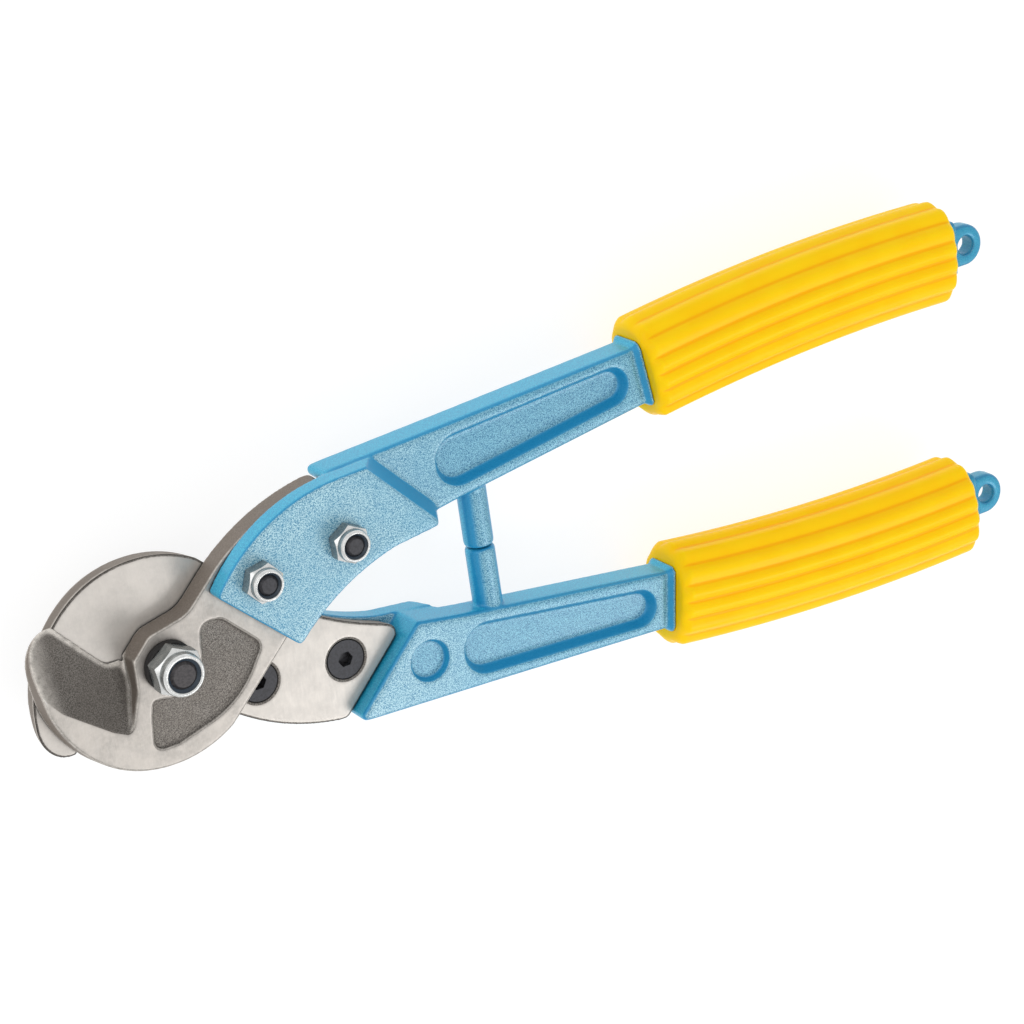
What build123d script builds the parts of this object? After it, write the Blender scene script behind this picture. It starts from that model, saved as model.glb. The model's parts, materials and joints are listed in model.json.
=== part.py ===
from build123d import *
from math import asin, cos, degrees, pi, sin
import os

# Two-handed cable cutter. Two equal halves cross on one pivot bolt: the lower half is the upper
# half turned 180 degrees about the long axis X. Shapes are drawn with the pivot at (0, 0):
# +X runs to the handle ends, +Y to the upper handle, +Z out of the plane of the tool.

# ---- driving dimensions, millimetres ----
BLADE_GAP = 0.1  # each blade's mating face stands this far from the plane Z = 0
BLADE_TOP = 6.5  # outer face of the front blade
PLATE_TOP = 13.0  # outer face of the handle plate that carries the nuts
ARM_Z = 5.5  # half the thickness of the handle arm, centred on Z = 0

NEAR_SCREW = (27.9, 17.4)  # the two M6 screws that hold each blade
FAR_SCREW = (55.1, 19.9)
M6_R = 3.0
M8_R = 4.0
SCREW_HOLE_R = 3.2  # clearance hole for M6
PIVOT_BORE_R = 4.05  # running fit on the M8 pivot bolt

TAIL_SEAT = 0.2  # gap between the blade's tail and the wall that backs it
POST_X = 102.3  # stop posts that meet when the jaws are shut
POST_R = 4.4
POST_GAP = 0.1  # each post stops this far from the middle

GRIP_ARC_R = 660.0  # radius of the bowed grip's centre line
GRIP_TOP = (252.0, 42.0)  # highest point of that centre line
COLLAR_X = 159.4  # where the arm starts to flare into the collar
COLLAR_RIM_X = 160.9
GRIP_START_X = 161.4
GRIP_END_X = 273.8
GRIP_AXIS = Axis((GRIP_TOP[0], GRIP_TOP[1] - GRIP_ARC_R, 0), (0, 0, -1))
TANG_END_X = 278.6
TANG_W = 17.5  # tang inside the grip
TANG_T = 9.0

EYE_X = 283.2  # hanging eye at the handle's end
EYE_R = 6.5
EYE_HOLE_R = 3.0
EYE_T = 6.0

HOOK_LEFT = -37.6  # leftmost point of the jaw
CENTRE_X = (HOOK_LEFT + EYE_X + EYE_R) / 2  # middle of the whole length

os.makedirs("parts", exist_ok=True)


def arc_y(x):
    """Distance of the grip's centre line from the long axis."""
    return GRIP_TOP[1] - GRIP_ARC_R + (GRIP_ARC_R**2 - (x - GRIP_TOP[0]) ** 2) ** 0.5


def station(x):
    """Plane square to the grip's centre line: local x points outward, local y along Z."""
    turn = asin((GRIP_TOP[0] - x) / GRIP_ARC_R)
    return Plane(
        origin=(x, arc_y(x), 0),
        x_dir=(-sin(turn), cos(turn), 0),
        z_dir=(cos(turn), sin(turn), 0),
    )


def grip_turn(x1, x2):
    """Angle of the centre line between two stations, in degrees."""
    return degrees(asin((GRIP_TOP[0] - x1) / GRIP_ARC_R) - asin((GRIP_TOP[0] - x2) / GRIP_ARC_R))


def upright(at):
    """Plane through a fastener's axis: local x along X, local y along Z."""
    return Plane(origin=(at[0], at[1], 0), x_dir=(1, 0, 0), z_dir=(0, -1, 0))


def save(part, name):
    """Shift the origin from the pivot to the middle of the tool, label the piece and write it."""
    piece = part.moved(Location((-CENTRE_X, 0, 0)))
    piece.label = name
    export_step(piece, f"parts/{name}.step")


def save_pair(part, upper_name, lower_name):
    """Write a piece of the upper half and its twin, turned about X, on the lower half."""
    save(part, upper_name)
    with BuildPart() as twin:
        add(part, rotation=(180, 0, 0))
    save(twin.part, lower_name)


# ---- blade: hooked jaw, neck, pivot head and tail in one forging ----
TIP = (-28.0, 18.9)
THROAT = (-13.3, 1.4)
NECK = (-4.4, 10.3)
NAPE = (7.6, 12.9)
BACK = (18.0, 22.8)
BACK_TURN = (50.0, 37.2)
BACK_END = (52.9, 37.4)
HEEL = (74.3, 16.0)
HEEL_TURN = (68.0, 13.1)
BELLY_BEND = (37.5, -4.0)
BELLY = (16.2, -24.2)
BLADE_DRAFT = 8.0  # degrees, forged side walls

# The hollow behind the cutting edge is a scoop ruled through four sections, from tip to throat. Each
# starts on the edge, low, and climbs to the outer face: start, direction, run to the outer face.
SCOOP_SECTIONS = (
    ((-32.2, 23.6), (-0.686, -0.728), 19.9),
    ((-21.4, 11.6), (-0.387, -0.922), 17.9),
    ((-15.0, 5.0), (-0.200, -0.980), 18.0),
    ((-9.6, 1.0), (-0.040, -1.000), 18.1),
)
SCOOP_EDGE_Z = 0.7  # land left at the cutting edge
SCOOP_SAG = 1.1  # how far the hollow dips below a straight bevel
SHOULDER_AT = (-34.0, 8.0, 3.9)  # the hook's tip slopes up to its rim on a plane through this point
SHOULDER_NORMAL = (0.35, 0.28, 0.90)
POCKET_DEPTH = 1.2  # kidney-shaped relief in the pivot head

with BuildPart() as scoop:
    for start, away, run in SCOOP_SECTIONS:
        rise = BLADE_TOP - SCOOP_EDGE_Z
        with BuildSketch(
            Plane(origin=(*start, 0), x_dir=(*away, 0), z_dir=(away[1], -away[0], 0))
        ):
            with BuildLine():
                ThreePointArc(
                    (-0.3 * run, SCOOP_EDGE_Z - 0.12 * rise),
                    (0.5 * run, SCOOP_EDGE_Z + 0.5 * rise - SCOOP_SAG),
                    (1.3 * run, BLADE_TOP + 0.45 * rise),
                )
                Polyline(
                    (1.3 * run, BLADE_TOP + 0.45 * rise),
                    (1.3 * run, BLADE_TOP + 5),
                    (-0.3 * run, BLADE_TOP + 5),
                    (-0.3 * run, SCOOP_EDGE_Z - 0.12 * rise),
                )
            make_face()
    loft(ruled=True)
    with BuildSketch(Plane.XY.offset(BLADE_TOP + 1)):
        with BuildLine():
            Polyline(
                (-50, -25), (-13.4, -15.6), (-9.4, -4), (-9.0, 10), (-20, 30), (-50, 30), close=True
            )
        scoop_floor = make_face()
        for corner, radius in (((-13.4, -15.6), 5), ((-9.4, -4), 8)):
            fillet(scoop_floor.vertices().sort_by_distance(corner)[0], radius)
    extrude(amount=BLADE_TOP + 1, dir=(0, 0, -1), taper=6, mode=Mode.INTERSECT)
    with BuildSketch(Plane(origin=SHOULDER_AT, z_dir=SHOULDER_NORMAL)):
        Rectangle(120, 120)
    extrude(amount=40, mode=Mode.INTERSECT)

with BuildPart() as blade:
    with BuildSketch(Plane.XY.offset(BLADE_GAP)) as outline:
        with BuildLine():
            Line(BELLY, BELLY_BEND)
            ThreePointArc(BELLY_BEND, (52.5, 6.2), HEEL_TURN)
            Polyline(HEEL_TURN, HEEL, BACK_END, BACK_TURN)
            ThreePointArc(BACK_TURN, (33.4, 32.3), BACK)
            Polyline(BACK, NAPE, NECK, THROAT, TIP)
            Spline(
                TIP,
                (-33.5, 17.7),
                (-36.9, 13.0),
                (HOOK_LEFT, 6.0),
                (-35.8, -4.5),
                (-28.8, -17.3),
                (-17.4, -26.5),
                (-5.0, -29.7),
                (6.0, -28.7),
                BELLY,
            )
        make_face()
        for corner, radius in ((THROAT, 4.5), (NECK, 5), (NAPE, 9), (HEEL, 3), (BACK_END, 2.5)):
            fillet(outline.vertices().sort_by_distance(corner)[0], radius)
    extrude(amount=BLADE_TOP - BLADE_GAP, taper=BLADE_DRAFT)
    add(scoop.part, mode=Mode.SUBTRACT)

    # kidney-shaped relief
    with BuildSketch(Plane.XY.offset(BLADE_TOP)) as kidney:
        with BuildLine():
            Polyline((10.3, 1.5), (11.2, 8.4), (17.5, 7.9), (28.3, -3.4), (25.1, -8.1))
            ThreePointArc((25.1, -8.1), (18.8, -15.5), (8.0, -20.8))
            Polyline((8.0, -20.8), (-1.0, -23.3), (-8.5, -23.3), (-7.2, -13.0), (-6.2, -8.9), (-3.6, -9.0))
            ThreePointArc((-3.6, -9.0), (6.4, -7.2), (10.3, 1.5))
        make_face()
        for corner, radius in (
            ((11.2, 8.4), 3.2),
            ((17.5, 7.9), 4.0),
            ((28.3, -3.4), 3.2),
            ((-8.5, -23.3), 3.0),
            ((-6.2, -8.9), 1.2),
        ):
            fillet(kidney.vertices().sort_by_distance(corner)[0], radius)
    extrude(amount=POCKET_DEPTH, dir=(0, 0, -1), taper=15, mode=Mode.SUBTRACT)

    with Locations((0, 0, BLADE_TOP)):
        Hole(PIVOT_BORE_R)
    for at in (NEAR_SCREW, FAR_SCREW):
        with Locations(Plane(origin=(at[0], at[1], BLADE_GAP), z_dir=(0, 0, -1))):
            CounterSinkHole(SCREW_HOLE_R, 6.3, counter_sink_angle=90)

save_pair(blade.part, "front_blade", "rear_blade")

# ---- handle: plate behind the blade, arm, stop post, collar, tang and hanging eye ----
PLATE_TOE = (15.1, 16.3)  # the plate's straight front end
PLATE_HEEL = (36.9, -5.2)
RIDGE_OUTER = (58.9, 44.8)  # the crest of the step from the plate down to the arm
RIDGE_CORNER = (85.6, 15.3)
RIDGE_CORNER_R = 1.6
RIDGE_SLOPE = 27.0  # degrees from upright
WALL_TOP = (52.9 + TAIL_SEAT, 37.6)  # wall behind the blade's tail
WALL_FOOT = (76.5, 14.0 + TAIL_SEAT)
RECESS_AT = (78.5, 26.8)  # round recess on the side away from the plate
RECESS_R = 6.2
RECESS_DEPTH = 2.2
SLOT_A = (97.5, 29.2)  # tapered oblong recess in both sides of the arm
SLOT_A_R = 7.9
SLOT_B = (149.5, 35.0)
SLOT_B_R = 5.9
SLOT_DEPTH = 3.5
SLOT_WALL = 1.7  # how far the slot's walls lean in

arm_end = station(COLLAR_X)
arm_outer = arm_end.from_local_coords((9.0, 0))
arm_inner = arm_end.from_local_coords((-9.0, 0))

with BuildPart() as eye:
    with BuildSketch(Plane.XY):
        with Locations((EYE_X - 5, arc_y(EYE_X))):
            SlotCenterToCenter(10, 2 * EYE_R)
    extrude(amount=EYE_T / 2, both=True)
    fillet(edges().group_by(Axis.Z)[0] + edges().group_by(Axis.Z)[-1], 1.4)

# plate over the blade, and the block that joins it to the arm
with BuildPart() as plate:
    with BuildSketch(Plane.XY.offset(BLADE_TOP)) as plate_outline:
        with BuildLine():
            Line(PLATE_TOE, PLATE_HEEL)
            ThreePointArc(PLATE_HEEL, (51.0, 5.8), (70.0, 13.4))
            Polyline((70.0, 13.4), (96.0, 16.6), (80.0, 39.4), (56.0, 38.3))
            ThreePointArc((56.0, 38.3), (32.3, 31.7), PLATE_TOE)
        make_face()
        fillet(plate_outline.vertices().sort_by_distance(PLATE_HEEL)[0], 1.5)
        fillet(plate_outline.vertices().sort_by_distance(PLATE_TOE)[0], 0.8)
    extrude(amount=PLATE_TOP - BLADE_TOP)
    with BuildSketch(Plane.XY.offset(ARM_Z - 1)):
        with BuildLine():
            Polyline(WALL_TOP, WALL_FOOT, (94, 17.2), (80, 38.9), (58.4, 37.6), WALL_TOP)
        make_face()
    extrude(amount=BLADE_TOP - ARM_Z + 1)
    with BuildSketch(Plane.XY.offset(PLATE_TOP)) as ridge:
        with BuildLine():
            Polyline(
                RIDGE_OUTER, RIDGE_CORNER, (70, 13.0), (60, -30), (-10, -30), (-10, 45), close=True
            )
        make_face()
        fillet(ridge.vertices().sort_by_distance(RIDGE_CORNER)[0], RIDGE_CORNER_R)
    extrude(amount=PLATE_TOP - ARM_Z + 1, dir=(0, 0, -1), taper=-RIDGE_SLOPE, mode=Mode.INTERSECT)
    fillet(faces().sort_by(Axis.Z)[-1].edges(), 0.6)

with BuildPart() as handle:
    with BuildSketch(Plane.XY) as arm:
        with BuildLine():
            Polyline(WALL_FOOT, (94.0, 17.2), arm_inner, arm_outer, (100.0, 40.7), (58.0, 38.2))
            Polyline((58.0, 38.2), WALL_TOP, WALL_FOOT)
        make_face()
        fillet(arm.vertices().sort_by_distance(WALL_TOP)[0], 1.6)
        fillet(arm.vertices().sort_by_distance(WALL_FOOT)[0], 1.5)
    extrude(amount=ARM_Z, both=True)
    long_edges = edges().group_by(Axis.Z)
    fillet(long_edges[0] + long_edges[-1], 1.5)
    add(plate.part)

    # tang under the grip, collar and end block
    with BuildSketch(station(COLLAR_X)):
        RectangleRounded(TANG_W, TANG_T, 2)
    revolve(axis=GRIP_AXIS, revolution_arc=grip_turn(COLLAR_X, TANG_END_X))
    with BuildSketch(station(COLLAR_X)):
        RectangleRounded(18.0, 2 * ARM_Z, 1.5)
    with BuildSketch(station(COLLAR_RIM_X)) as rim:
        RectangleRounded(20.8, 2 * ARM_Z + 3, 2.6)
    loft()
    extrude(rim.sketch, amount=GRIP_START_X - COLLAR_RIM_X)
    add(eye.part)
    with Locations((EYE_X, arc_y(EYE_X), EYE_T / 2)):
        Hole(EYE_HOLE_R)

    # stop post
    with BuildSketch(Plane.XZ.offset(-POST_GAP)):
        with Locations((POST_X, 0)):
            Circle(POST_R)
    extrude(amount=24, dir=(0, 1, 0))
    post_rims = edges().filter_by(GeomType.CIRCLE)
    fillet(post_rims.sort_by_distance((POST_X, POST_GAP, 0))[0], 1.2)

    # recesses
    for side in (1, -1):
        for level, inset in ((ARM_Z, 0), (ARM_Z - SLOT_DEPTH, SLOT_WALL)):
            with BuildSketch(Plane.XY.offset(side * level)):
                with Locations(SLOT_A):
                    Circle(SLOT_A_R - inset)
                with Locations(SLOT_B):
                    Circle(SLOT_B_R - inset)
                make_hull()
        loft(mode=Mode.SUBTRACT)
    with BuildSketch(Plane.XY.offset(-ARM_Z)):
        with Locations(RECESS_AT):
            Circle(RECESS_R)
    extrude(amount=RECESS_DEPTH, dir=(0, 0, 1), taper=13, mode=Mode.SUBTRACT)

    with Locations(*[(x, y, PLATE_TOP) for x, y in (NEAR_SCREW, FAR_SCREW)]):
        Hole(SCREW_HOLE_R, PLATE_TOP - BLADE_TOP + 1)

save_pair(handle.part, "upper_handle", "lower_handle")

# ---- grip: ribbed sleeve that follows the bowed centre line ----
GRIP_HALF_W = 14.9  # to the valleys between the ribs
GRIP_HALF_T = 11.3
RIB_RISE = 1.0
RIBS = 14
GRIP_SQUARENESS = 2.5  # 2 is an ellipse, more is boxier


def on_oval(turn, rise, scale):
    """Point of the grip's soft oval outline, lifted outward by rise."""
    across = abs(cos(turn) / GRIP_HALF_W) ** GRIP_SQUARENESS
    through = abs(sin(turn) / GRIP_HALF_T) ** GRIP_SQUARENESS
    radius = scale * ((across + through) ** (-1 / GRIP_SQUARENESS) + rise)
    return (radius * cos(turn), radius * sin(turn))


def grip_section(x, scale=1.0):
    """Sketch of the ribbed outline, square to the centre line at x."""
    pitch = 2 * pi / RIBS
    with BuildSketch(station(x)) as section:
        with BuildLine():
            for rib in range(RIBS):
                ThreePointArc(
                    on_oval((rib - 0.5) * pitch, 0, scale),
                    on_oval(rib * pitch, RIB_RISE, scale),
                    on_oval((rib + 0.5) * pitch, 0, scale),
                )
        make_face()
    return section.sketch


# stations and scales that round the grip's two ends
DOME = ((0.0, 0.80), (0.9, 0.90), (2.2, 0.965), (5.0, 1.0))
CAP = ((3.2, 1.0), (1.2, 0.965), (0.3, 0.90), (0.0, 0.82))
start_rings = [(GRIP_START_X + along, scale) for along, scale in DOME]
end_rings = [(GRIP_END_X - along, scale) for along, scale in CAP]
with BuildPart() as grip:
    add(grip_section(start_rings[-1][0]))
    revolve(axis=GRIP_AXIS, revolution_arc=grip_turn(start_rings[-1][0], end_rings[0][0]))
    for rings in (start_rings, end_rings):
        for first, second in zip(rings, rings[1:]):
            add(grip_section(*first))
            add(grip_section(*second))
            loft()
    add(handle.part, mode=Mode.SUBTRACT)
save_pair(grip.part, "upper_grip", "lower_grip")

# ---- fasteners ----
HEAD_Z = 0.4  # countersunk heads sit this far below the plane Z = 0
NUT_END = 0.3  # threads stop this far below the nut's lip


def flat_screw(at, end_z):
    """M6 countersunk screw with a hexagon socket, head at the mating face."""
    with BuildPart() as screw:
        with BuildSketch(upright(at)):
            with BuildLine():
                Polyline(
                    (0, HEAD_Z),
                    (5.7, HEAD_Z),
                    (5.7, HEAD_Z + 0.25),
                    (M6_R, HEAD_Z + 2.95),
                    (M6_R, end_z - 0.8),
                    (M6_R - 0.8, end_z),
                    (0, end_z),
                    close=True,
                )
            make_face()
        revolve(axis=Axis((at[0], at[1], 0), (0, 0, 1)))
        with BuildSketch(Plane.XY.offset(HEAD_Z)):
            with Locations(at):
                RegularPolygon(2.0, 6, major_radius=False)
        extrude(amount=2.3, mode=Mode.SUBTRACT)
    return screw.part


def lock_nut(at, seat_z, flats, height, hex_height, thread_r, collar_r, lip_r, turn):
    """Nylon-insert hexagon nut standing on seat_z."""
    with BuildPart() as nut:
        with BuildSketch(Plane.XY.offset(seat_z)):
            with Locations(at):
                RegularPolygon(flats / 2, 6, major_radius=False, rotation=turn)
        extrude(amount=hex_height)
        with BuildSketch(upright(at)):
            with BuildLine():
                Polyline(
                    (0, seat_z),
                    (flats * 0.6, seat_z),
                    (flats * 0.6, seat_z + hex_height - flats * 0.1),
                    (flats * 0.46, seat_z + hex_height),
                    (0, seat_z + hex_height),
                    close=True,
                )
            make_face()
        revolve(axis=Axis((at[0], at[1], 0), (0, 0, 1)), mode=Mode.INTERSECT)
        with BuildSketch(upright(at)):
            with BuildLine():
                Polyline(
                    (thread_r, seat_z),
                    (collar_r, seat_z),
                    (collar_r, seat_z + height - 1.3),
                    (collar_r - 0.15, seat_z + height - 0.6),
                    (collar_r - 0.45, seat_z + height - 0.15),
                    (collar_r - 0.8, seat_z + height),
                    (lip_r, seat_z + height - 0.15),
                    (lip_r, seat_z + hex_height - 0.6),
                    (thread_r, seat_z + hex_height - 0.6),
                    close=True,
                )
            make_face()
        revolve(axis=Axis((at[0], at[1], 0), (0, 0, 1)))
        with Locations((at[0], at[1], seat_z + height)):
            Hole(thread_r)
            Hole(lip_r, height - hex_height + 0.6)
    return nut.part


def nylon_ring(at, seat_z, height, hex_height, thread_r, lip_r):
    """Nylon ring inside the nut's collar."""
    low = seat_z + hex_height - 0.6
    high = seat_z + height - 0.5
    with BuildPart() as ring:
        with BuildSketch(upright(at)):
            with BuildLine():
                Polyline((thread_r, low), (lip_r, low), (lip_r, high), (thread_r, high - 0.5), close=True)
            make_face()
        revolve(axis=Axis((at[0], at[1], 0), (0, 0, 1)))
    return ring.part


M6_NUT = dict(flats=10, height=6.0, hex_height=4.0, thread_r=M6_R, collar_r=4.75, lip_r=3.65)
M8_NUT = dict(flats=13, height=8.0, hex_height=5.4, thread_r=M8_R, collar_r=6.2, lip_r=4.9)
RING_KEYS = ("height", "hex_height", "thread_r", "lip_r")

for spot, at, turn in (("near", NEAR_SCREW, 11), ("far", FAR_SCREW, 32)):
    save_pair(flat_screw(at, PLATE_TOP + 6.0 - NUT_END), f"front_screw_{spot}", f"rear_screw_{spot}")
    save_pair(lock_nut(at, PLATE_TOP, turn=turn, **M6_NUT), f"front_nut_{spot}", f"rear_nut_{spot}")
    ring_size = {key: M6_NUT[key] for key in RING_KEYS}
    save_pair(nylon_ring(at, PLATE_TOP, **ring_size), f"front_insert_{spot}", f"rear_insert_{spot}")

# pivot bolt: hexagon head behind the rear blade, nut on the front blade
BOLT_HEAD_T = 5.3
BOLT_SEAT = -(BLADE_TOP + 0.2)
WASHER_T = 2.6
NUT_SEAT = BLADE_TOP + WASHER_T
with BuildPart() as pivot_bolt:
    with BuildSketch(Plane.XY.offset(BOLT_SEAT)):
        RegularPolygon(6.5, 6, major_radius=False)
    extrude(amount=BOLT_HEAD_T, dir=(0, 0, -1))
    with BuildSketch(Plane.XZ):
        with BuildLine():
            Polyline(
                (0, BOLT_SEAT),
                (7.6, BOLT_SEAT),
                (7.6, BOLT_SEAT - BOLT_HEAD_T + 0.9),
                (6.1, BOLT_SEAT - BOLT_HEAD_T),
                (0, BOLT_SEAT - BOLT_HEAD_T),
                close=True,
            )
        make_face()
    revolve(axis=Axis.Z, mode=Mode.INTERSECT)
    with BuildSketch(Plane.XY.offset(BOLT_SEAT)):
        Circle(M8_R)
    extrude(amount=NUT_SEAT + 8.0 - NUT_END - BOLT_SEAT)
    chamfer(edges().filter_by(GeomType.CIRCLE).sort_by(Axis.Z)[-1], 0.8)
save(pivot_bolt.part, "pivot_bolt")
save(lock_nut((0, 0), NUT_SEAT, turn=35, **M8_NUT), "pivot_nut")
save(nylon_ring((0, 0), NUT_SEAT, **{key: M8_NUT[key] for key in RING_KEYS}), "pivot_nut_insert")

# stack of dished washers under the pivot nut
with BuildPart() as washer:
    with BuildSketch(upright((0, 0))):
        with BuildLine():
            Polyline(
                (4.3, BLADE_TOP),
                (6.9, BLADE_TOP),
                (7.2, BLADE_TOP + 0.3),
                (7.2, BLADE_TOP + 1.0),
                (6.9, BLADE_TOP + 1.3),
                (7.2, BLADE_TOP + 1.6),
                (7.2, BLADE_TOP + 2.3),
                (6.9, NUT_SEAT),
                (4.3, NUT_SEAT),
                close=True,
            )
        make_face()
    revolve(axis=Axis.Z)
save(washer.part, "pivot_washer")
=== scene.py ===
import json
from math import asin, cos, pi, radians, sin

import bpy
from mathutils import Matrix, Vector

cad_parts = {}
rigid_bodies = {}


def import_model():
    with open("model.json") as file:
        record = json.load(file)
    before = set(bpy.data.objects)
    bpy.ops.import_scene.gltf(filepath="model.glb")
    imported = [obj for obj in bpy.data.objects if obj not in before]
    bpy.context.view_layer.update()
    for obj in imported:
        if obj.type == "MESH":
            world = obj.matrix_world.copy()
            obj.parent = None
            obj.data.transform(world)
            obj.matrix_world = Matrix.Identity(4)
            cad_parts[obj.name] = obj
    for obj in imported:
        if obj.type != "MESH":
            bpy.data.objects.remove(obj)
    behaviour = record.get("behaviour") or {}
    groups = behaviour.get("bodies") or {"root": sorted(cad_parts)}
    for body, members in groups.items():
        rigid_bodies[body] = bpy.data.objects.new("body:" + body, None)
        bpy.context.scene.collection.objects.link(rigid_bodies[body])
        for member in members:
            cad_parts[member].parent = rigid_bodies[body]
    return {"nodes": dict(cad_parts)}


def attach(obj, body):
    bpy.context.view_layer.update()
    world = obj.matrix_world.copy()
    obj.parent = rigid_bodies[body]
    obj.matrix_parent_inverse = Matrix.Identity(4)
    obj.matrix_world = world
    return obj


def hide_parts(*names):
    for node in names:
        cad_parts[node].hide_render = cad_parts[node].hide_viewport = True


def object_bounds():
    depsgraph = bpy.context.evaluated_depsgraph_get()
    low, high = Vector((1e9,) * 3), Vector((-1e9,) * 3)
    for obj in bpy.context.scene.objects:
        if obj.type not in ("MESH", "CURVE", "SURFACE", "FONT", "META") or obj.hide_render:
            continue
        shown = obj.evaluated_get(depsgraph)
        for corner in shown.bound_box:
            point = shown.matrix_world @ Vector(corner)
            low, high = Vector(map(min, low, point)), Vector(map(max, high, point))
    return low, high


for leftover in list(bpy.data.objects):
    bpy.data.objects.remove(leftover)

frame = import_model()
cad_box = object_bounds()
NODES = frame["nodes"]
MM = 0.001

# The jaws lie at negative X and the hanging eyes at positive X. Z = 0 is the plane between the blades.
FACE_Z = 6.5 * MM  # the front blade's ground outer face
JAW_X = -135.2 * MM  # the hollowed jaw lies below this X
LIP_X = -163.5 * MM  # the hooked tip of each jaw
LIP_REACH = 8.0 * MM  # length of the brightened area behind that tip, part wear and part painted light
DARKEN_X = -85.0 * MM  # the handles' faces darken from here towards the grips
DARKEN_SPAN = 90.0 * MM  # length over which they do
ARM_FACE_Z = 5.5 * MM  # the arms' flat faces
POST_END_Y = 20.5 * MM  # the stop posts' roots
EYE_START_X = 147.0 * MM  # the hanging eyes lie beyond this X


# ---------------------------------------------------------------- colours
def rgb(r, g, b):
    """Screen colour, 0 to 255, as a linear colour."""

    def linear(v):
        v /= 255
        return v / 12.92 if v < 0.04045 else ((v + 0.055) / 1.055) ** 2.4

    return (linear(r), linear(g), linear(b), 1.0)


# Ground and forged steel tones. Several carry painted light or shade: the lightened mating face, the
# edge highlight, the jaw's shade, the lit tip, the corner shade and the near-black gap shade.
GROUND_DARK, GROUND_LIGHT = rgb(162, 157, 151), rgb(182, 176, 169)
GROUND_STAIN, GROUND_SCRATCH = rgb(198, 191, 184), rgb(208, 205, 201)
GROUND_MATING_LIT, GROUND_EDGE_WEAR_AND_GLINT = rgb(214, 209, 203), rgb(240, 238, 234)
FORGED_DARK, FORGED_LIGHT = rgb(76, 72, 68), rgb(166, 160, 153)
FORGED_CLOUD, FORGED_JAW_SHADE, FORGED_WALL = rgb(112, 105, 98), rgb(70, 66, 62), rgb(140, 129, 119)
FORGED_WORN_AND_LIT, FORGED_CORNER_SHADE, SHADE_BLACK = rgb(226, 220, 212), rgb(44, 40, 37), rgb(20, 19, 18)

# Paint tones. The pale face flake is partly painted sheen; the slope, eye, corner and gap blues are
# painted shade, and the pale rim blue is a painted highlight.
FACE_BLUE, FACE_FLAKE_SHEEN, FACE_CLOUD = rgb(22, 118, 158), rgb(186, 222, 230), rgb(50, 148, 186)
WALL_BLUE, WALL_FLAKE, SLOPE_SHADE_BLUE = rgb(12, 150, 196), rgb(70, 196, 226), rgb(0, 130, 186)
DEEP_BLUE, DEEP_FLAKE, EYE_SHADE_BLUE = rgb(10, 100, 142), rgb(112, 186, 210), rgb(20, 112, 150)
RIM_HIGHLIGHT, CORNER_SHADE_BLUE, GAP_SHADE_BLUE = rgb(218, 242, 250), rgb(6, 124, 180), rgb(6, 78, 116)

VINYL, VINYL_LIGHT = rgb(255, 202, 0), rgb(255, 208, 4)
# the ribs' painted shade in the troughs and painted highlight on the crests
VINYL_TROUGH_SHADE, VINYL_CREST_HIGHLIGHT = rgb(255, 172, 0), rgb(255, 220, 16)
ZINC_FLAT = rgb(134, 139, 140), rgb(158, 161, 160)
# painted highlight on the nuts' ends and chamfers
ZINC_END_HIGHLIGHT = rgb(216, 218, 217), rgb(236, 236, 234)
# the screws' tones, the second being painted shade inside their sockets
OXIDE, OXIDE_SOCKET_SHADE = (rgb(46, 46, 49), rgb(68, 68, 72)), rgb(10, 10, 11)
# near black: the washer's dark steel, taken darker as the pivot nut's painted shadow
WASHER_IN_SHADE = rgb(26, 25, 25), rgb(44, 42, 41)
NYLON = rgb(26, 38, 50), rgb(44, 60, 74)
PIVOT = rgb(56, 54, 56), rgb(82, 79, 80)


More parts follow.
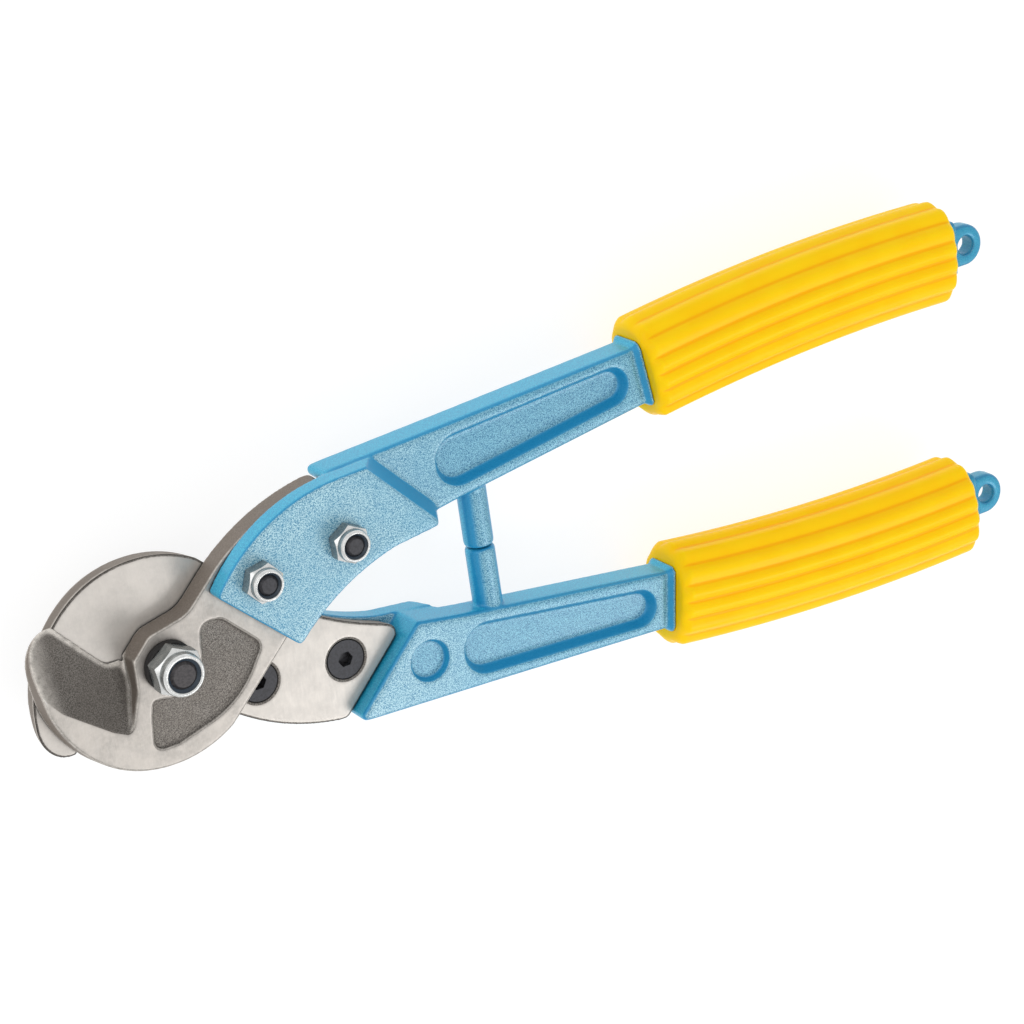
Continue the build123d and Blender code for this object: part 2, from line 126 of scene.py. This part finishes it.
# ---------------------------------------------------------------- node helper
class Shader:
    """A material under construction. node() makes a node and sets or links its inputs, by name or
    index. add() does the same and returns one of its outputs."""

    def __init__(self, name):
        self.material = bpy.data.materials.new(name)
        self.material.use_nodes = True
        self.tree = self.material.node_tree
        self.tree.nodes.clear()
        self.out = self.tree.nodes.new("ShaderNodeOutputMaterial")

    def node(self, kind, inputs=None, **settings):
        made = self.tree.nodes.new("ShaderNode" + kind)
        for key, value in settings.items():
            setattr(made, key, value)
        for key, value in (inputs or {}).items():
            if isinstance(value, bpy.types.NodeSocket):
                self.tree.links.new(value, made.inputs[key])
            else:
                made.inputs[key].default_value = value
        return made

    def add(self, kind, inputs=None, out=0, **settings):
        return self.node(kind, inputs, **settings).outputs[out]

    # ------------------------------------------------ numbers and colours
    def math(self, operation, a, b=0.0, c=0.0):
        return self.add("Math", {0: a, 1: b, 2: c}, operation=operation)

    def times(self, a, b):
        return self.math("MULTIPLY", a, b)

    def ramp(self, value, low, high, to_low=0.0, to_high=1.0):
        """Smooth step from to_low to to_high as value goes from low to high."""
        return self.add(
            "MapRange",
            {"Value": value, 1: low, 2: high, 3: to_low, 4: to_high},
            interpolation_type="SMOOTHSTEP",
        )

    def spread(self, noise, to_low=0.0, to_high=1.0):
        """Noise, most of which lies between 0.3 and 0.7, drawn out to to_low and to_high."""
        return self.ramp(noise, 0.3, 0.7, to_low, to_high)

    def mix(self, factor, a, b):
        """Colour a where factor is 0, b where it is 1."""
        return self.add("Mix", {0: factor, 6: a, 7: b}, out=2, data_type="RGBA")

    def tint(self, base, mask, share, color):
        """base where mask is 0, and taken by share towards color where it is 1."""
        return self.mix(self.times(mask, share), base, color)

    def blend(self, factor, a, b):
        """Number a where factor is 0, b where it is 1."""
        return self.add("Mix", {0: factor, 2: a, 3: b}, data_type="FLOAT")

    # ------------------------------------------------ place and pattern
    def place(self):
        """X, Y and Z in the part's frame."""
        return self.node("SeparateXYZ", {0: self.add("TexCoord", out=3)}).outputs

    def facing_z(self):
        """Z of the surface's normal in the part's frame."""
        return self.add("SeparateXYZ", {0: self.add("TexCoord", out=1)}, out=2)

    def noise(self, size_mm, detail=2.0, roughness=0.5, stretch=(1, 1, 1), rotation=(0, 0, 0)):
        """Noise from 0 to 1 whose features are about size_mm across. A second turn keeps every face
        off the noise's own grid."""
        scale = [s / MM for s in stretch]
        turned = self.add(
            "Mapping",
            {"Vector": self.add("TexCoord", out=3), "Scale": scale, "Rotation": rotation},
        )
        tipped = self.add("Mapping", {"Vector": turned, "Rotation": (0.5, 0.3, 0.2)})
        return self.add(
            "TexNoise",
            {"Vector": tipped, "Scale": 1 / size_mm, "Detail": detail, "Roughness": roughness},
        )

    def bump(self, height, depth_mm, normal=None):
        inputs = {"Height": height, "Distance": depth_mm * MM, "Strength": 1.0}
        if normal is not None:
            inputs["Normal"] = normal
        return self.add("Bump", inputs)

    def rounded(self, radius_mm, samples):
        """Normal as if the edges were rounded by radius_mm."""
        return self.add("Bevel", {"Radius": radius_mm * MM}, samples=samples)

    # ------------------------------------------------ edges and corners
    def convex(self, low=0.52, high=0.57):
        """1 along outer edges of a finely meshed piece, 0 on open surface."""
        return self.ramp(self.add("NewGeometry", out=7), low, high)

    def concave(self, low=0.48, high=0.43):
        """1 along inner corners of a finely meshed piece, 0 on open surface."""
        return self.ramp(self.add("NewGeometry", out=7), low, high)

    def rims(self, radius_mm, low, high):
        """1 within radius_mm of any edge, falling to 0 on open surface."""
        agree = self.add(
            "VectorMath",
            {0: self.rounded(radius_mm, 6), 1: self.add("NewGeometry", out=1)},
            out=1,
            operation="DOT_PRODUCT",
        )
        return self.ramp(self.math("SUBTRACT", 1.0, agree), low, high)

    def outer_rims(self, radius_mm, low, high):
        """rims() without the inner corners."""
        return self.times(self.rims(radius_mm, low, high), self.convex(0.485, 0.505))

    def gap_shade(self, reach_mm):
        """1 in gaps and deep corners, where shade falls: the mask for painted shade there."""
        open_sky = self.add("AmbientOcclusion", {"Distance": reach_mm * MM}, out=1, samples=6)
        return self.ramp(open_sky, 0.75, 0.25)

    def finish(self, **inputs):
        """Links the surface and returns the material. An underscore in a name is a space."""
        sockets = {key.replace("_", " "): value for key, value in inputs.items()}
        surface = self.add("BsdfPrincipled", sockets)
        self.tree.links.new(surface, self.out.inputs["Surface"])
        return self.material


# ---------------------------------------------------------------- materials
def blade_steel(side):
    """Dark forging with ground outer and mating faces. side is 1 for the front blade, -1 for the
    rear one."""
    s = Shader("blade_front" if side > 0 else "blade_rear")
    x, _, z = s.place()
    facing = s.facing_z()
    height = s.times(z, side)
    outward = s.times(facing, side)
    speckle = s.noise(0.32, 3, 0.75)
    cloud = s.noise(6, 3, 0.55)
    stain = s.noise(1.3, 4, 0.7)
    scratch = s.noise(0.22, 2, 0.6, (1, 0.05, 1), (0, 0, radians(25)))

    # ground: the outer face up to a ragged border, and the whole mating face
    ragged = s.math("MULTIPLY_ADD", s.noise(0.45, 3, 0.6), 0.25 * MM, height)
    on_top = s.ramp(ragged, FACE_Z - 0.35 * MM, FACE_Z - 0.1 * MM)
    outer = s.times(s.ramp(outward, 0.975, 0.992), on_top)
    mating = s.ramp(outward, -0.98, -0.995)
    ground = s.math("MAXIMUM", outer, mating)

    bright = s.mix(s.spread(cloud), GROUND_DARK, GROUND_LIGHT)
    bright = s.mix(s.ramp(stain, 0.35, 0.7, 0, 0.4), bright, GROUND_STAIN)
    bright = s.mix(s.ramp(scratch, 0.4, 0.8, 0, 0.3), bright, GROUND_SCRATCH)
    # painted light: the mating face lightened to offset the shade that falls on it
    bright = s.tint(bright, mating, 0.4, GROUND_MATING_LIT)
    # the ground face's outer edges lightened: part wear, part painted highlight
    bright = s.tint(bright, s.convex(0.51, 0.54), 0.8, GROUND_EDGE_WEAR_AND_GLINT)

    jaw = s.ramp(x, JAW_X + 0.4 * MM, JAW_X - 0.4 * MM)
    forged = s.mix(s.ramp(speckle, 0.38, 0.64), FORGED_DARK, FORGED_LIGHT)
    forged = s.mix(s.spread(cloud, 0, 0.3), forged, FORGED_CLOUD)
    # painted shade: the hollowed jaw darker than the rest of the forging
    forged = s.tint(forged, jaw, 0.45, FORGED_JAW_SHADE)
    forged = s.mix(s.ramp(s.math("ABSOLUTE", facing), 0.5, 0.2, 0, 0.65), forged, FORGED_WALL)

    # worn bright with painted highlight: outer edges and the jaw's rims carry wear and a painted
    # highlight, and the slope behind the hooked tip is painted lit; none of it facing inwards
    tip_wear_and_light = s.times(s.ramp(x, LIP_X + LIP_REACH, LIP_X, 0, 0.6), s.ramp(outward, 0.3, 0.7))
    rubbed_and_lit = s.math("MAXIMUM", s.times(s.rims(2.0, 0.006, 0.07), jaw), tip_wear_and_light)
    patchy = s.ramp(s.noise(2.2, 4, 0.7), 0.3, 0.6, 0.55, 1.0)
    worn_and_lit = s.times(s.math("MAXIMUM", s.convex(0.508, 0.55), rubbed_and_lit), patchy)
    forged = s.mix(s.times(worn_and_lit, s.ramp(outward, -0.4, -0.1)), forged, FORGED_WORN_AND_LIT)

    # the countersinks' cones, known by how they face, are painted dark as the shade inside the holes
    cone = s.times(s.ramp(outward, -0.58, -0.66), s.ramp(outward, -0.86, -0.78))
    forged = s.tint(forged, cone, 0.9, SHADE_BLACK)
    # painted shade in the inner corners
    forged = s.tint(forged, s.concave(), 0.6, FORGED_CORNER_SHADE)

    # painted shade: gaps and deep corners taken almost to black
    color = s.tint(s.mix(ground, forged, bright), s.gap_shade(1.6), 0.9, SHADE_BLACK)
    rough = s.blend(ground, s.spread(speckle, 0.5, 0.66), s.spread(scratch, 0.36, 0.48))
    coarse = s.bump(s.noise(0.42, 3, 0.7), 0.1)
    fine = s.bump(scratch, 0.006)
    normal = s.add("Mix", {0: ground, 4: coarse, 5: fine}, out=1, data_type="VECTOR")
    return s.finish(Base_Color=color, Roughness=rough, Metallic=0.6, Normal=normal)


def blue_paint():
    """Flake paint. The faces take the pale flake, partly real flake and partly painted sheen where
    light falls on them; side walls keep the saturated base colour. Slopes, recess floors, inner
    corners, gaps and the hanging eyes are painted shade, the outer edges a painted highlight, and the
    faces darken towards the grips.
    """
    s = Shader("blue_paint")
    x, y, z = s.place()
    facing = s.math("ABSOLUTE", s.facing_z())
    flake = s.noise(0.3, 2, 0.7)
    cloud = s.noise(11, 2, 0.5)
    on_arm = s.ramp(x, EYE_START_X + MM, EYE_START_X)
    on_eye = s.ramp(x, EYE_START_X, EYE_START_X + MM)

    face = s.mix(s.ramp(flake, 0.38, 0.6), FACE_BLUE, FACE_FLAKE_SHEEN)
    face = s.mix(s.spread(cloud, 0, 0.2), face, FACE_CLOUD)
    wall = s.mix(s.ramp(flake, 0.38, 0.66), WALL_BLUE, WALL_FLAKE)
    # painted shade on the sloping walls
    slope_shade = s.times(s.ramp(facing, 0.15, 0.4, 0, 0.7), s.ramp(facing, 0.97, 0.8))
    wall = s.mix(slope_shade, wall, SLOPE_SHADE_BLUE)

    # painted shade on the recess floors; the faces also run darker towards the grips
    below_face = s.ramp(s.math("ABSOLUTE", z), ARM_FACE_Z - 0.6 * MM, ARM_FACE_Z - 1.2 * MM)
    past_post = s.ramp(s.math("ABSOLUTE", y), POST_END_Y, POST_END_Y + MM)
    recess_shade = s.times(s.times(below_face, past_post), 0.75)
    darkened = s.math("MAXIMUM", s.ramp(x, DARKEN_X, DARKEN_X + DARKEN_SPAN, 0.0, 0.75), recess_shade)
    face = s.mix(darkened, face, s.mix(s.ramp(flake, 0.38, 0.6), DEEP_BLUE, DEEP_FLAKE))

    # faces take the pale flake and its painted sheen, walls the saturated base colour
    color = s.mix(s.times(s.ramp(facing, 0.72, 0.96), on_arm), wall, face)
    # painted shade on the hanging eyes
    color = s.tint(color, on_eye, 0.4, EYE_SHADE_BLUE)
    # painted highlight along the outer edges
    color = s.tint(color, s.outer_rims(0.9, 0.015, 0.1), 0.65, RIM_HIGHLIGHT)
    # painted shade in the inner corners
    color = s.tint(color, s.concave(0.485, 0.44), 0.6, CORNER_SHADE_BLUE)
    # painted shade in the gaps
    color = s.tint(color, s.gap_shade(1.2), 0.6, GAP_SHADE_BLUE)
    return s.finish(
        Base_Color=color,
        Roughness=s.spread(flake, 0.34, 0.48),
        Metallic=0.15,
        Normal=s.bump(s.noise(0.5, 2, 0.5), 0.03),
        Coat_Weight=0.3,
        Coat_Roughness=0.14,
    )


def yellow_vinyl():
    """Soft moulded vinyl, with amber painted shade along the troughs and a pale painted highlight on
    the crests of the ribs.
    """
    s = Shader("yellow_grip")
    cloud = s.noise(9, 3, 0.5)
    color = s.mix(s.spread(cloud), VINYL, VINYL_LIGHT)
    # painted shade in the troughs, painted highlight on the crests
    color = s.tint(color, s.concave(0.498, 0.475), 0.7, VINYL_TROUGH_SHADE)
    color = s.tint(color, s.convex(0.505, 0.53), 0.4, VINYL_CREST_HIGHLIGHT)
    return s.finish(
        Base_Color=color,
        Roughness=s.spread(cloud, 0.3, 0.4),
        Normal=s.bump(s.noise(0.7, 2, 0.5), 0.012, s.bump(s.noise(3.5, 2, 0.5), 0.05)),
        Specular_IOR_Level=0.12,
        Subsurface_Weight=0.1,
        Subsurface_Radius=(0.004, 0.002, 0.0005),
        Subsurface_Scale=0.4,
    )


def bright_zinc():
    """Plated nuts: grey flats round the sides, with the chamfers and ends painted bright as a
    highlight.
    """
    s = Shader("bright_nut")
    cloud = s.noise(1.6, 4, 0.6)
    rub = s.noise(0.3, 2, 0.6, (1, 1, 0.1))
    flat = s.mix(s.spread(cloud), *ZINC_FLAT)
    rim = s.mix(s.spread(cloud), *ZINC_END_HIGHLIGHT)
    # painted highlight: surfaces facing along the nut's axis are made bright
    color = s.mix(s.ramp(s.math("ABSOLUTE", s.facing_z()), 0.1, 0.5), flat, rim)
    return s.finish(
        Base_Color=color,
        Metallic=0.7,
        Roughness=s.spread(cloud, 0.22, 0.3),
        Normal=s.bump(rub, 0.003, s.rounded(0.25, 8)),
    )


def black_oxide():
    """Blackened screws, with painted shade inside the hexagon sockets."""
    s = Shader("black_screw")
    cloud = s.noise(0.8, 3, 0.6)
    return s.finish(
        Base_Color=s.tint(s.mix(s.spread(cloud), *OXIDE), s.gap_shade(1.0), 0.85, OXIDE_SOCKET_SHADE),
        Metallic=0.5,
        Roughness=s.spread(cloud, 0.38, 0.52),
        Normal=s.bump(s.noise(0.5, 3, 0.6), 0.012, s.rounded(0.2, 6)),
    )


def dull_metal(name, cloud_mm, tones, metallic, rough):
    """Dark metal with cloudy tones, for the washer and the pivot bolt."""
    s = Shader(name)
    cloud = s.noise(cloud_mm, 3, 0.6)
    return s.finish(
        Base_Color=s.mix(s.spread(cloud), *tones),
        Metallic=metallic,
        Roughness=s.spread(cloud, *rough),
        Normal=s.bump(cloud, 0.01),
    )


def dark_nylon():
    s = Shader("nylon_insert")
    cloud = s.noise(1.2, 2, 0.5)
    return s.finish(
        Base_Color=s.mix(cloud, *NYLON),
        Roughness=s.spread(cloud, 0.32, 0.42),
        Normal=s.bump(cloud, 0.01),
    )


def dress(material, *names):
    for name in names:
        mesh = NODES[name].data
        mesh.materials.clear()
        mesh.materials.append(material)


dress(blade_steel(1), "front_blade")
dress(blade_steel(-1), "rear_blade")
dress(blue_paint(), "upper_handle", "lower_handle")
dress(bright_zinc(), *[n for n in NODES if "_nut" in n and "insert" not in n])
dress(black_oxide(), *[n for n in NODES if "_screw_" in n])
dress(dark_nylon(), *[n for n in NODES if "insert" in n])
dress(dull_metal("pivot_steel", 0.7, PIVOT, 0.55, (0.42, 0.58)), "pivot_bolt")
# the washer's near-black tone is partly the pivot nut's painted shadow
dress(dull_metal("pivot_washer", 0.8, WASHER_IN_SHADE, 0.3, (0.55, 0.7)), "pivot_washer")


# ---------------------------------------------------------------- softened castings and forgings
def soften(name, voxel_mm, passes):
    """Rounds a node's edges the way forging, casting and paint do. The CAD mesh stays as it is."""
    piece = NODES[name]
    weld = piece.modifiers.new("weld", "WELD")
    weld.merge_threshold = 0.002 * MM
    cells = piece.modifiers.new("cells", "REMESH")
    cells.mode = "VOXEL"
    cells.voxel_size = voxel_mm * MM
    cells.use_smooth_shade = True
    smooth = piece.modifiers.new("smooth", "SMOOTH")
    smooth.factor = 0.5
    smooth.iterations = passes


for name in ("upper_handle", "lower_handle"):
    soften(name, 0.45, 6)
for name in ("front_blade", "rear_blade"):
    soften(name, 0.35, 7)

# ---------------------------------------------------------------- grips
GRIP_ARC_R = 0.660  # radius of the bowed centre line
GRIP_START, GRIP_END = 0.03535, 0.14775  # X of its two ends
GRIP_TOP_X, GRIP_TOP_Y = 0.12595, 0.0420  # its farthest point from the tool's middle
HALF_W, HALF_T = 14.9 * MM, 11.3 * MM  # half the width and thickness under the ribs
SQUARENESS = 2.5  # power of the sleeve's rounded oval section
RIBS, RIB_RISE, RIB_FULLNESS = 14, 1.05 * MM, 0.7
FRONT_DOME, BACK_DOME = (3.8 * MM, 0.82), (3.4 * MM, 0.80)  # reach in from the end, scale there
FRONT_FADE, BACK_FADE = (3.2 * MM, 0.15), (2.5 * MM, 0.35)  # reach in, height of the ribs there
DOME_POWER = 2.6
CAP_SHARES, CAP_DISH = (0.9, 0.7, 0.3), 0.25 * MM
AROUND, ALONG = RIBS * 12, 150  # mesh steps round the sleeve and along it


def dome(into, reach, start):
    """Scale of the sleeve at a distance in from its end: a rounded shoulder from start up to 1."""
    if into >= reach:
        return 1.0
    return start + (1 - start) * (1 - (1 - into / reach) ** DOME_POWER) ** (1 / DOME_POWER)


def fade(into, reach, start):
    """Height of the ribs at a distance in from the end, as a share: from start up to 1."""
    return min(1.0, start + into / reach)


def sleeve_radius(angle, scale, rib_share):
    """Distance from the centre line to the ribbed surface."""
    wide, thick = abs(cos(angle) / HALF_W), abs(sin(angle) / HALF_T)
    oval = (wide**SQUARENESS + thick**SQUARENESS) ** (-1 / SQUARENESS)
    crest = (0.5 + 0.5 * cos(RIBS * angle)) ** RIB_FULLNESS
    return scale * (oval + RIB_RISE * crest * rib_share)


def grip_mesh(name, side):
    """Ribbed sleeve on the bowed centre line. side is 1 for the upper grip, -1 for the lower."""
    verts, faces = [], []
    for i in range(ALONG + 1):
        # rings crowd towards both ends, where the shoulders are
        x = GRIP_START + (GRIP_END - GRIP_START) * (0.5 - 0.5 * cos(pi * (i / ALONG)))
        turn = asin((GRIP_TOP_X - x) / GRIP_ARC_R)
        centre_y = GRIP_TOP_Y - GRIP_ARC_R + GRIP_ARC_R * cos(turn)
        from_start, from_end = x - GRIP_START, GRIP_END - x
        scale = min(dome(from_start, *FRONT_DOME), dome(from_end, *BACK_DOME))
        rib_share = fade(from_start, *FRONT_FADE) * fade(from_end, *BACK_FADE)
        for k in range(AROUND):
            angle = 2 * pi * k / AROUND
            radius = sleeve_radius(angle, scale, rib_share)
            across, through = radius * cos(angle), radius * sin(angle)
            y = centre_y + across * cos(turn)
            verts.append((x - across * sin(turn), side * y, side * through))
    for n in range(ALONG):
        for k in range(AROUND):
            a, b = n * AROUND + k, n * AROUND + (k + 1) % AROUND
            faces.append((a, b, b + AROUND, a + AROUND))
    # each end closes onto the tang with a slightly dished face
    for n, inward in ((0, 1), (ALONG, -1)):
        ring = [n * AROUND + k for k in range(AROUND)]
        centre = sum((Vector(verts[v]) for v in ring), Vector()) / AROUND
        last = ring
        for share in CAP_SHARES:
            new = []
            for v in ring:
                point = centre.lerp(Vector(verts[v]), share)
                point.x += inward * CAP_DISH * (1 - share)
                new.append(len(verts))
                verts.append(tuple(point))
            for k in range(AROUND):
                j = (k + 1) % AROUND
                quad = (last[k], new[k], new[j], last[j])
                faces.append(quad if inward > 0 else quad[::-1])
            last = new
        faces.append(tuple(last[::-1]) if inward > 0 else tuple(last))
    mesh = bpy.data.meshes.new(name)
    mesh.from_pydata(verts, [], faces)
    mesh.update()
    mesh.shade_smooth()
    grip = bpy.data.objects.new(name, mesh)
    bpy.context.scene.collection.objects.link(grip)
    return grip


vinyl = yellow_vinyl()
for which, side in (("upper", 1), ("lower", -1)):
    grip = grip_mesh(which + "_grip_sleeve", side)
    grip.data.materials.append(vinyl)
    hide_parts(which + "_grip")
    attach(grip, which + "_half")

# ---------------------------------------------------------------- floor, light and camera
FLOOR_SIZE = 6
FLOOR_Z = cad_box[0][2] - 0.2 * MM
WORLD_STRENGTH = 0.78
LENS_MM, SENSOR_MM, NEAREST = 105.47, 36, 0.01
CAMERA_PLACE = (-0.39465, 0.3180, 0.7060)
CAMERA_RIGHT = Vector((0.84513, -0.13370, 0.51757))
CAMERA_UP = Vector((0.29692, 0.92253, -0.24652))

bpy.ops.mesh.primitive_plane_add(size=FLOOR_SIZE, location=(0, 0, FLOOR_Z))
floor = bpy.context.object
floor.name = "floor"
# part of the floor's white is its own light, so little of the grips' yellow shows on it
pale = Shader("pale_floor")
floor.data.materials.append(
    pale.finish(
        Base_Color=rgb(140, 140, 140),
        Roughness=0.8,
        Normal=pale.bump(pale.noise(2, 2), 0.01),
        Emission_Color=(1, 1, 1, 1),
        Emission_Strength=0.8,
    )
)

world = bpy.data.worlds.new("studio")
bpy.context.scene.world = world
world.use_nodes = True
world.node_tree.nodes["Background"].inputs["Color"].default_value = (1, 1, 1, 1)
world.node_tree.nodes["Background"].inputs["Strength"].default_value = WORLD_STRENGTH


def area_light(name, place, size, power):
    """Rectangular light aimed at the middle of the tool."""
    data = bpy.data.lights.new(name, "AREA")
    data.shape = "RECTANGLE"
    data.size, data.size_y = size
    data.energy = power
    light = bpy.data.objects.new(name, data)
    bpy.context.scene.collection.objects.link(light)
    light.location = place
    light.rotation_euler = (-Vector(place)).to_track_quat("-Z", "Y").to_euler()


area_light("key", (0.6, -0.9, 1.1), (0.8, 0.6), 6.0)
area_light("fill", (-0.9, 0.5, 0.9), (0.9, 0.9), 2.5)

camera_data = bpy.data.cameras.new("camera")
camera_data.lens = LENS_MM
camera_data.sensor_width = SENSOR_MM
camera_data.clip_start = NEAREST
camera = bpy.data.objects.new("camera", camera_data)
bpy.context.scene.collection.objects.link(camera)
camera_turn = Matrix((CAMERA_RIGHT, CAMERA_UP, CAMERA_RIGHT.cross(CAMERA_UP))).transposed()
camera.matrix_world = Matrix.Translation(CAMERA_PLACE) @ camera_turn.to_4x4()
bpy.context.scene.camera = camera
bpy.context.scene.view_settings.view_transform = "Standard"
